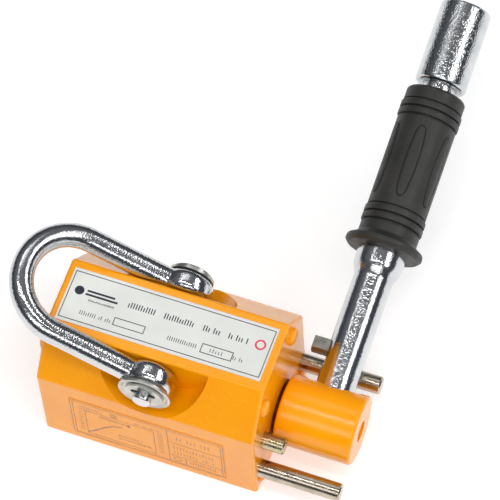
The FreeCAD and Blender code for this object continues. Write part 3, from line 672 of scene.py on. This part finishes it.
# The knob's cap, as (radius, height, fillet) from its side and from its skirt or its top.
KNOB_DIMPLE = 0.35
KNOB_SKIRT = ((-3.8, 0.3, 0.2), (-3.4, 0.0, 0.2), (0.0, 0.0, 2.7))
KNOB_TOP = ((0.0, 0.0, 3.0), (-3.5, 0.0, 0.2), (-4.0, -KNOB_DIMPLE, 0.2))
# Its neck, as (radius, height, fillet) from the neck's side: foot and top.
NECK_FOOT = ((0.0, 0.0, 0.3),)
NECK_TOP = ((0.0, 0.5, 0.8),)


def add_knob():
    """The release knob: a long chromed cap with well rounded ends and a plain neck."""
    points = local_points("release_knob", HANDLE)
    low, high = min(p.z for p in points), max(p.z for p in points) - INSET
    cap_radius = max(radius_of(p) for p in points) - INSET
    neck = max(radius_of(p) for p in points if p.z < low + 0.1)
    skirt = min(p.z for p in points if radius_of(p) > neck + 1)
    corners = [(0, low, 0)] + counted_from(neck, low, NECK_FOOT) + counted_from(neck, skirt, NECK_TOP)
    corners += counted_from(cap_radius, skirt, KNOB_SKIRT) + counted_from(cap_radius, high, KNOB_TOP)
    corners.append((0, high - KNOB_DIMPLE, 0))
    outline = filleted(eased(corners), steps=10)
    add_piece("knob_cap", turned_mesh("knob_cap", outline, HANDLE, 128), KNOB_CHROME,
              "handle_slide", "chrome", "release_knob")


# ---------------------------------------------------------------------------
# Shackle and its hardware
# ---------------------------------------------------------------------------
# The bar is this much thicker at the eyes, and thins to the bow's between these distances from the pin.
NECK_GAIN = 0.1
NECK_END = 8.0
TAPER_END = 16.0
LEG_STEPS = 40
BOW_STEPS = 60
# The forged eyes are this much larger in radius than the CAD's, and their rims are rounded off.
EYE_GAIN = 0.75
EYE_FILLET = 3.6
VOXEL = 0.42
SMOOTHING = 0.5
SMOOTHING_PASSES = 7


def bow_bar(side, leg, bar):
    """The path of the bow from one eye around the crown to the other, and the bar's radius along it."""
    path, radii = [], []
    for step in range(LEG_STEPS + 1):
        x = -leg * step / LEG_STEPS
        t = min(max((-x - NECK_END) / (TAPER_END - NECK_END), 0), 1)
        path.append(Vector((x, side, 0)))
        radii.append(bar + NECK_GAIN * (1 - smooth_rise(t)))
    for step in range(1, BOW_STEPS):
        angle = math.pi * step / BOW_STEPS
        path.append(Vector((-leg - side * math.sin(angle), side * math.cos(angle), 0)))
        radii.append(bar)
    for index in range(LEG_STEPS, -1, -1):
        path.append(Vector((path[index].x, -side, 0)))
        radii.append(radii[index])
    return path, radii


def add_shackle():
    """The forged bow and its two eyes, blended into one another as a forging is."""
    points = local_points("shackle", SHACKLE)
    crown = min(p.x for p in points)
    eye_radius = max(p.x for p in points) + EYE_GAIN
    outside = max(p.y for p in points)
    inside = min(abs(p.y) for p in points if p.x > 0)
    side = (outside + inside) / 2
    bar = max(p.z for p in points if p.x < crown + side / 2)
    eye = filleted([(0, inside, 0), (eye_radius, inside, EYE_FILLET), (eye_radius, outside, EYE_FILLET),
                    (0, outside, 0)], steps=10)
    other_eye = [(r, -y) for r, y in eye]
    shape = joined(swept(*bow_bar(side, -crown - side - bar, bar), sides=40),
                   turned_about_y(eye, 72), turned_about_y(other_eye, 72))
    blank = new_object("shackle_blank", merged_mesh("shackle_blank", *shape, MERGE_GAP))
    remesh = blank.modifiers.new("blend", "REMESH")
    remesh.mode = "VOXEL"
    remesh.voxel_size = VOXEL
    smooth = blank.modifiers.new("smooth", "SMOOTH")
    smooth.factor = SMOOTHING
    smooth.iterations = SMOOTHING_PASSES
    forged = mesh_with_modifiers(blank)
    bpy.data.objects.remove(blank)
    forged.transform(SHACKLE @ Matrix.Scale(MM, 4))
    shade_smooth(forged)
    add_piece("forged_shackle", forged, CHROME, "lifting_shackle", "chrome", "shackle",
              sharp=math.radians(180))


# The washer's rim, as (radius, height, fillet) from its edge: inner face, then outer face.
WASHER_BORE = 4.15
WASHER_DISH = 0.7
WASHER_INNER = ((-2.2, 0.0, 0.3), (-0.7, 0.3, 0.4), (0.0, 0.8, 0.4))
WASHER_OUTER = ((0.0, 0.0, 0.45), (-1.1, 0.0, 0.45), (-1.9, -WASHER_DISH, 0.4))


def add_near_washer():
    """The dished washer under the clip: a flat middle, a rolled rim that stands outwards."""
    low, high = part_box("near_washer")
    washer_radius = (high.x - low.x) / 2 / MM
    inner, outer = -high.y / MM, -low.y / MM
    corners = [(WASHER_BORE, inner, 0)] + counted_from(washer_radius, inner, WASHER_INNER)
    corners += counted_from(washer_radius, outer, WASHER_OUTER) + [(WASHER_BORE, outer - WASHER_DISH, 0)]
    outline = filleted(corners)
    outline.append(outline[0])
    add_piece("dished_washer", turned_mesh("dished_washer", outline, CROSS_PIN, 72), ZINC,
              "magnet_body", "zinc_steel", "near_washer")


PIN_RADIUS = 4.0
PIN_BEVEL = 0.9
CLIP_GROOVE_DEPTH = 0.8
PIN_HEAD_THICKNESS = 2.6
PIN_HEAD_RIM = 0.7
PIN_HEAD_CHAMFER = 0.3
DOME_STEPS = 16


def add_pin():
    """The cross pin: a domed head on the far side, a clip groove and a bevelled end on the near side."""
    low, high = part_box("shackle_pin")
    clip_low, clip_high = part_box("near_e_clip")
    head_radius = (high.x - low.x) / 2 / MM
    near, far = -low.y / MM - INSET, -high.y / MM + INSET
    head_start = far + PIN_HEAD_THICKNESS
    rim = head_start - PIN_HEAD_RIM
    groove_near, groove_far = -clip_low.y / MM, -clip_high.y / MM
    groove_radius = PIN_RADIUS - CLIP_GROOVE_DEPTH
    outline = filleted([(0, near, 0), (PIN_RADIUS, near, PIN_BEVEL), (PIN_RADIUS, groove_near, 0),
                        (groove_radius, groove_near, 0), (groove_radius, groove_far, 0),
                        (PIN_RADIUS, groove_far, 0), (PIN_RADIUS, head_start, 0),
                        (head_radius - PIN_HEAD_CHAMFER, head_start, 0), (head_radius, rim, 0)])
    for step in range(1, DOME_STEPS + 1):
        angle = math.pi / 2 * step / DOME_STEPS
        outline.append((head_radius * math.cos(angle), rim - (rim - far) * math.sin(angle)))
    add_piece("headed_pin", turned_mesh("headed_pin", outline, CROSS_PIN, 72), CHROME,
              "magnet_body", "zinc_steel", "shackle_pin")


# ---------------------------------------------------------------------------
# Printed lines, as (u, v) points in millimetres in the plane of the plate or the label
# ---------------------------------------------------------------------------
INK_THICKNESS = 0.035
SHARPEST_MITRE = 0.3
RING_STEPS = 24
# Mock print: the ticks' spacing in pitches, the gap kept at a row's end, and a short tick's height.
TICK_SPACING = 0.62
ROW_END_GAP = 0.4
SHORT_TICK = 0.72


def ribbon(line, width):
    """A flat strip with mitred corners; it closes when the line ends where it began."""
    points = [Vector(point) for point in line]
    closed = (points[0] - points[-1]).length < MERGE_GAP
    if closed:
        points.pop()
    count = len(points)
    leaving = [(after - point).normalized() for point, after in zip(points, points[1:] + points[:1])]
    if not closed:
        leaving[-1] = leaving[-2]
    vertices, faces = [], []
    for index, point in enumerate(points):
        arriving = leaving[index - 1] if closed or index > 0 else leaving[0]
        along = (arriving + leaving[index]).normalized()
        mitre = max(along.dot(leaving[index]), SHARPEST_MITRE)
        side = Vector((-along.y, along.x)) * width / 2 / mitre
        for edge, w in ((side, 0), (-side, 0), (-side, INK_THICKNESS), (side, INK_THICKNESS)):
            corner = point + edge
            vertices.append(Vector((corner.x, corner.y, w)))
    for index in range(count if closed else count - 1):
        a, b = 4 * index, 4 * ((index + 1) % count)
        faces += [(a + k, a + (k + 1) % 4, b + (k + 1) % 4, b + k) for k in range(4)]
    if not closed:
        last = 4 * (count - 1)
        faces += [(3, 2, 1, 0), (last, last + 1, last + 2, last + 3)]
    return vertices, faces


def strokes(lines, width):
    """Flat strips along several lines."""
    return joined(*(ribbon(line, width) for line in lines))


def frame_line(u0, v0, u1, v1):
    """A rectangle between two opposite corners."""
    return [(u0, v0), (u1, v0), (u1, v1), (u0, v1), (u0, v0)]


def ring_line(u, v, r):
    """A circle around a centre."""
    angles = [TURN * step / RING_STEPS for step in range(RING_STEPS + 1)]
    return [(u + r * math.cos(a), v + r * math.sin(a)) for a in angles]


def tick_column(u0, u1, v0, spacing, count):
    """Short level ticks, one above another."""
    return [[(u0, v0 + spacing * k), (u1, v0 + spacing * k)] for k in range(count)]


def mock_words(rows):
    """Rows of upright ticks of two heights with gaps, in place of print; each row starts from its seed."""
    lines = []
    for u, v0, end, v1, pitch, number in rows:
        while u < end - pitch * ROW_END_GAP:
            number = (number * 37 + 11) % 101
            if number % 9 != 3:
                lines.append([(u, v0), (u, v1 if number % 3 else v0 + SHORT_TICK * (v1 - v0))])
            u += pitch * TICK_SPACING
    return lines


# The nameplate, with u and v along the row's X and Y: border margins at the left, foot, right and top.
PLATE_MARGINS = (1.0, 1.5, 0.9, 1.4)
VALUE_BOXES = ((-20.3, -7.3, -7.5, -4.1), (16.5, -7.4, 29.3, -3.6))
# Rows of mock print, as (u0, v0, u1, v1, pitch, seed).
SMALL_ROWS = ((-34.4, -7.2, -21.2, -5.4, 1.45, 5), (2.5, -6.6, 15.6, -4.8, 1.45, 9),
              (29.9, -6.5, 34.6, -4.8, 1.45, 4), (20.3, -6.4, 25.8, -4.7, 1.9, 2),
              (-33.0, -0.8, -21.6, 0.0, 0.85, 7))
TITLE_ROWS = ((-18.1, 1.7, -3.6, 4.2, 1.72, 3), (-1.8, 1.7, 12.6, 4.2, 1.72, 6),
              (14.6, 1.7, 23.4, 4.2, 1.72, 8), (25.2, 1.7, 33.6, 4.2, 1.72, 4))
EMBLEM_DOT = (-38.0, 2.7, 1.0)
EMBLEM_BARS = ([(-35.2, 1.9), (-21.6, 1.9)], [(-34.8, 3.5), (-23.2, 3.5)])
RED_RING = (38.2, 3.1, 1.9)
PLATE_LINE = 0.34
SMALL_PRINT_LINE = 0.28
TITLE_LINE = 0.44
DOT_LINE = 1.9
BAR_LINE = 0.85
RED_LINE = 0.75


def add_plate_print():
    """Generic print on the nameplate: border, a dot with two bars, rows of ticks, value boxes, a red ring."""
    low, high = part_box("nameplate")
    place = axes_matrix(Vector((0, 0, high.z)), Vector((1, 0, 0)), Vector((0, 1, 0)), Vector((0, 0, 1)))
    left, foot, right, top = PLATE_MARGINS
    border = frame_line(low.x / MM + left, low.y / MM + foot, high.x / MM - right, high.y / MM - top)
    lines = joined(strokes([border] + [frame_line(*box) for box in VALUE_BOXES], PLATE_LINE),
                   strokes(mock_words(SMALL_ROWS), SMALL_PRINT_LINE),
                   strokes(mock_words(TITLE_ROWS), TITLE_LINE))
    emblem = joined(strokes([ring_line(*EMBLEM_DOT)], DOT_LINE), strokes(EMBLEM_BARS, BAR_LINE))
    red_ring = strokes([ring_line(*RED_RING)], RED_LINE)
    for name, shape, material in (("plate_lines", lines, NAVY_INK), ("plate_emblem", emblem, NAVY_INK),
                                  ("plate_red_mark", red_ring, RED_INK)):
        add_piece(name, mesh_from(name, *shape, place), material, "magnet_body", "plate_metal")


# The side label, with u and v along the row's X and Z.
LABEL_FRAMES = ((-32.6, 6.1, 32.7, 37.5), (-31.5, 7.1, 31.7, 36.0), (-26.4, 9.0, 3.0, 30.4))
LABEL_RULES = [[(8.9, 7.1), (8.9, 36.0)], [(8.9, 25.4), (31.7, 25.4)], [(8.9, 13.1), (31.7, 13.1)],
               [(16.0, 7.1), (16.0, 13.1)]]
LABEL_RINGS = ((-13.9, 33.0, 1.5), (-13.9, 33.0, 0.7), (12.4, 10.1, 1.6))
# Columns of ticks, as (u0, u1, v0, spacing, count).
LABEL_TICKS = ((-29.4, -27.6, 11.5, 2.3, 8), (4.6, 6.8, 12.0, 2.0, 10))
LABEL_ROWS = ((-29.5, 32.2, -18.0, 33.6, 1.3, 3), (-4.6, 31.6, 6.6, 32.9, 1.25, 8),
              (-12.5, 12.2, 1.4, 13.7, 1.2, 2), (-12.5, 15.0, -2.0, 16.4, 1.2, 6),
              (-29.5, 29.8, -22.0, 31.0, 1.25, 5), (13.0, 28.6, 27.8, 31.8, 2.4, 4),
              (11.4, 19.8, 29.4, 22.4, 2.2, 7), (11.4, 15.2, 29.4, 17.6, 2.2, 5),
              (18.0, 9.0, 30.2, 11.4, 1.7, 9))
CHART_CURVE = [(-26.3, 9.9), (-23.4, 12.8), (-18.6, 19.0), (-14.8, 22.6), (-10.9, 24.5)]
CHART_ARROW = [[(-20.3, 28.2), (-7.0, 27.8)], [(-7.0, 27.8), (-8.2, 28.7)], [(-7.0, 27.8), (-8.2, 27.0)]]
LABEL_LINE = 0.24
LABEL_PRINT_LINE = 0.26
CURVE_LINE = 0.5


def add_chart_print():
    """Generic print on the side label: a double frame, a chart with its curve, ticks and three panels."""
    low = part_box("load_chart_label")[0]
    place = axes_matrix(Vector((0, low.y, 0)), Vector((1, 0, 0)), Vector((0, 0, 1)), Vector((0, -1, 0)))
    thin = [frame_line(*box) for box in LABEL_FRAMES] + LABEL_RULES
    thin += [ring_line(*ring) for ring in LABEL_RINGS]
    for column in LABEL_TICKS:
        thin += tick_column(*column)
    shape = joined(strokes(thin, LABEL_LINE), strokes(mock_words(LABEL_ROWS), LABEL_PRINT_LINE),
                   strokes([CHART_CURVE] + CHART_ARROW, CURVE_LINE))
    add_piece("chart_lines", mesh_from("chart_lines", *shape, place), CHART_INK, "magnet_body", "label_print")


# ---------------------------------------------------------------------------
# Floor, light and camera, in metres and degrees
# ---------------------------------------------------------------------------
FLOOR_HALF = 6.0
FLOOR_DROP = 0.0004
CAMERA_AZIMUTH = 24.26
CAMERA_ELEVATION = 62.885
CAMERA_ROLL = -4.946
CAMERA_DISTANCE = 1.5584
CAMERA_LENS = 273.3
CAMERA_AIM = Vector((0.01109, 0.06098, 0.02614))
LIGHT_DISTANCE = 1.6
LIGHT_AIM = Vector((0.0, 0.03, 0.03))
# The studio around the object, as (height of the direction, red, green, blue).
SKY = ((0.0, 1.0, 1.0, 1.0),
       (0.012, 0.080, 0.086, 0.098),
       (0.40, 0.065, 0.070, 0.080),
       (0.62, 0.14, 0.145, 0.155),
       (1.0, 0.20, 0.205, 0.21))


def direction(azimuth, elevation):
    """The unit vector from the object towards a place, azimuth counted from the near side to the right."""
    a, e = math.radians(azimuth), math.radians(elevation)
    return Vector((math.sin(a) * math.cos(e), -math.cos(a) * math.cos(e), math.sin(e)))


def add_floor():
    """A paper floor that glows a little, so that it comes out nearly white."""
    mesh = bpy.data.meshes.new("floor")
    corners = [(FLOOR_HALF * x, FLOOR_HALF * y, 0) for x, y in ((-1, -1), (1, -1), (1, 1), (-1, 1))]
    mesh.from_pydata(corners, [], [(0, 1, 2, 3)])
    floor = new_object("floor", mesh)
    m = Nodes("floor_paper")
    m.colour(m.mix(m.spread(m.noise(6, 2), 0.3, 0.7), rgb(0.66, 0.66, 0.66), rgb(0.64, 0.64, 0.64)))
    m.set(Roughness=0.9, Specular_IOR_Level=0.1, Emission_Color=rgb(1.0, 1.0, 1.0), Emission_Strength=0.50)
    floor.data.materials.append(m.material)
    floor.location.z = -FLOOR_DROP


def add_softbox(name, azimuth, elevation, width, height, radiance, mirrored=True):
    """A rectangular light that faces the object, placed by its direction from it, in degrees."""
    light = bpy.data.lights.new(name, "AREA")
    light.shape = "RECTANGLE"
    light.size = width
    light.size_y = height
    light.energy = radiance * math.pi * width * height
    lamp = new_object(name, light)
    back = direction(azimuth, elevation)
    lamp.location = LIGHT_AIM + back * LIGHT_DISTANCE
    lamp.rotation_mode = "QUATERNION"
    lamp.rotation_quaternion = (-back).to_track_quat("-Z", "Y")
    lamp.visible_glossy = mirrored


def add_world():
    """A studio: white below the horizon, dark walls and a grey ceiling, by height of the direction."""
    world = bpy.data.worlds.new("studio")
    bpy.context.scene.world = world
    world.use_nodes = True
    tree = world.node_tree
    background = tree.nodes["Background"]
    coordinates = tree.nodes.new("ShaderNodeTexCoord")
    split = tree.nodes.new("ShaderNodeSeparateXYZ")
    ramp = tree.nodes.new("ShaderNodeValToRGB")
    tree.links.new(coordinates.outputs["Generated"], split.inputs["Vector"])
    tree.links.new(split.outputs["Z"], ramp.inputs["Fac"])
    tree.links.new(ramp.outputs["Color"], background.inputs["Color"])
    stops = ramp.color_ramp.elements
    while len(stops) < len(SKY):
        stops.new(0.5)
    for stop, (height, red, green, blue) in zip(stops, SKY):
        stop.position = height
        stop.color = rgb(red, green, blue)
    background.inputs["Strength"].default_value = 1.0


def add_camera():
    """A long lens from above the right end of the near side, rolled a little."""
    camera = new_object("camera", bpy.data.cameras.new("camera"))
    back = direction(CAMERA_AZIMUTH, CAMERA_ELEVATION)
    right = Vector((-back.y, back.x, 0)).normalized()
    up = back.cross(right)
    roll = math.radians(CAMERA_ROLL)
    rolled_right = right * math.cos(roll) + up * math.sin(roll)
    rolled_up = up * math.cos(roll) - right * math.sin(roll)
    camera.matrix_world = axes_matrix(CAMERA_AIM + back * CAMERA_DISTANCE, rolled_right, rolled_up, back)
    camera.data.sensor_width = 36.0
    camera.data.lens = CAMERA_LENS
    camera.data.clip_start = 0.05
    camera.data.clip_end = 50.0
    bpy.context.scene.camera = camera


add_tube()
add_grip()
add_knob()
add_shackle()
add_near_washer()
add_pin()
add_plate_print()
add_chart_print()
add_floor()
add_world()
add_softbox("right_softbox", azimuth=100, elevation=44, width=1.6, height=0.46, radiance=3.4)
add_softbox("front_softbox", azimuth=10, elevation=44, width=1.4, height=0.44, radiance=2.3)
add_softbox("overhead_strip", azimuth=0, elevation=81, width=1.4, height=0.05, radiance=20.0)
add_softbox("left_strip", azimuth=262, elevation=64, width=1.4, height=0.10, radiance=2.6)
add_softbox("back_overhead", azimuth=204, elevation=62, width=0.80, height=0.50, radiance=0.95)
add_softbox("overhead_fill", azimuth=30, elevation=68, width=1.4, height=1.4, radiance=2.0, mirrored=False)
add_camera()
bpy.context.scene.view_settings.view_transform = "Standard"
